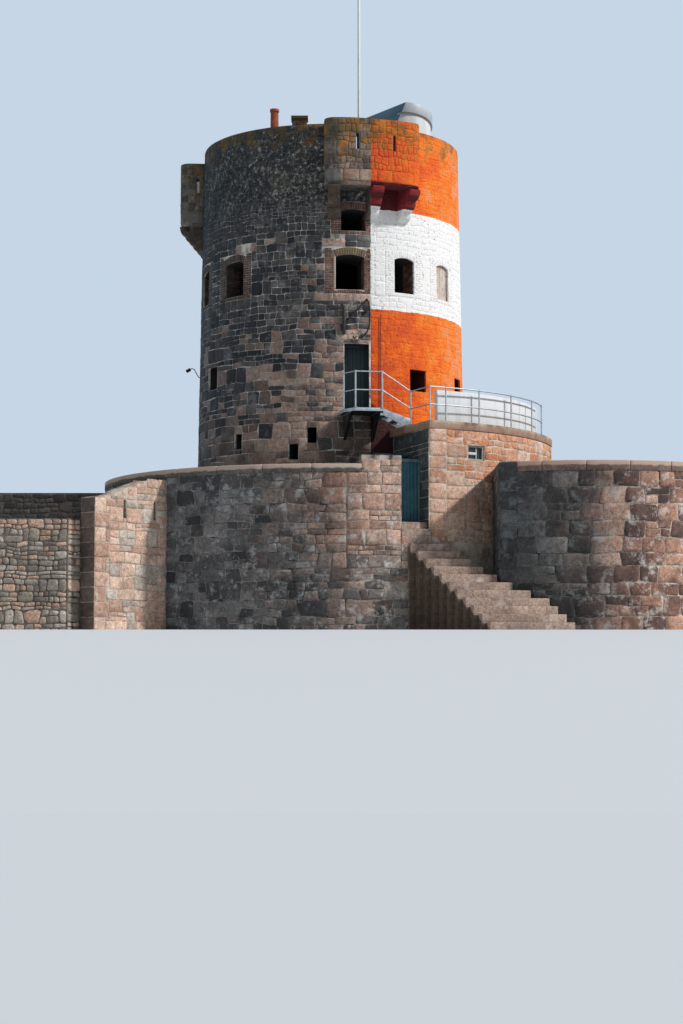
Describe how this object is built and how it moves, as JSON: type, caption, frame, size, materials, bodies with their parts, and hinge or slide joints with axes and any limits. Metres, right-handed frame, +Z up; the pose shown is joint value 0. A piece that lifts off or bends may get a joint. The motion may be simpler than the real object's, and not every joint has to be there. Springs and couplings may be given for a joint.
{
  "type": "martello tower",
  "caption": "Round coastal defence tower with corbelled machicolations, painted bands, raised door, battery wall, guardhouse terrace, gate, stone steps and gun platform",
  "frame": {"origin": "on the tower's axis, on the underside of its footing at the lowest ground level", "axes": "+Z up, the front with the door and the gate looks along -Y, +X to the right seen from the front"},
  "size_m": [25.0298, 17.5371, 22.5723],
  "materials": {
    "tower_granite": "rubble granite laid in lime mortar, dark with age, ochre lichen near the rim",
    "painted_masonry": "granite masonry under thick brush-laid masonry paint, orange and white bands",
    "corbel_stone": "dressed granite, weathered",
    "floor_stone": "stone flags, matt",
    "teal_door_paint": "boarded door in dark teal gloss, faded",
    "lime_plaster": "lime plaster, trowelled",
    "white_render": "painted render, smooth and matt",
    "roof_sheet": "pale grey coated roof sheet",
    "roof_glass": "blue-grey roof glazing",
    "white_pole_paint": "white gloss paint",
    "terracotta": "fired clay, matt",
    "galvanised_steel": "hot-dip galvanised steel, dull spangle",
    "guardhouse_granite": "dressed peach granite blocks with wide lime joints",
    "coping_stone": "dressed coping stones, pale with lichen",
    "teal_gate_paint": "boarded gate in teal paint",
    "battery_granite": "grey-brown granite masonry with pale mortar",
    "step_stone": "worn granite treads",
    "yard_paving": "rough stone paving over rubble fill",
    "bastion_granite": "large red-brown granite blocks in courses with pale mortar",
    "wing_granite": "coursed pink granite blocks"
  },
  "bodies": {
    "building": {"tower_base": "tower_granite", "ground_wall_front": "tower_granite", "ground_wall_back": "tower_granite", "first_wall_left_of_door": "tower_granite", "first_wall_right_of_door": "painted_masonry", "first_wall_over_door": "tower_granite", "first_wall_back": "tower_granite", "second_wall_front": "painted_masonry", "second_wall_back": "tower_granite", "parapet_right": "painted_masonry", "parapet_back": "tower_granite", "parapet_left": "tower_granite", "machicolation_front": "painted_masonry", "machicolation_right": "tower_granite", "machicolation_left": "tower_granite", "corbels_front": "corbel_stone", "corbels_right": "corbel_stone", "corbels_left": "corbel_stone", "first_floor": "floor_stone", "second_floor": "floor_stone", "roof_platform": "floor_stone", "tower_door": "teal_door_paint", "window_infill": "lime_plaster", "stair_head_walls": "white_render", "stair_head_roof": "roof_sheet", "stair_head_glazing": "roof_glass", "flagpole": "white_pole_paint", "chimney_pot": "terracotta", "chimney_stub": "tower_granite", "landing_deck": "galvanised_steel", "landing_stair": "galvanised_steel", "landing_rail": "galvanised_steel", "terrace_rail": "galvanised_steel", "terrace_parapet": "white_render", "guardhouse_front_wall": "guardhouse_granite", "guardhouse_side_wall": "guardhouse_granite", "guardhouse_end_wall": "guardhouse_granite", "guardhouse_roof": "coping_stone", "gate_frame": "teal_gate_paint", "gate_pier": "battery_granite", "gate_steps": "step_stone", "gate_canopy": "teal_gate_paint", "ring_wall_front": "battery_granite", "ring_wall_left": "battery_granite", "ring_wall_back": "battery_granite", "ring_wall_right": "battery_granite", "ring_coping": "coping_stone", "yard": "yard_paving", "bastion_front_wall": "bastion_granite", "bastion_side_wall": "bastion_granite", "bastion_return_wall": "bastion_granite", "bastion_coping": "coping_stone", "bastion_platform": "yard_paving", "wing_wall": "wing_granite", "rubble_wall": "battery_granite", "far_wall": "battery_granite", "stone_steps": "step_stone"},
    "gate": {"gate_leaf": "teal_gate_paint"}
  },
  "joints": [
    {"name": "gate_hinge", "type": "hinge", "parent": "building", "child": "gate", "pos_m": [2.61498, -5.96538, 4.3], "axis": [0, 0, -1], "range_deg": [0, 90]}
  ]
}
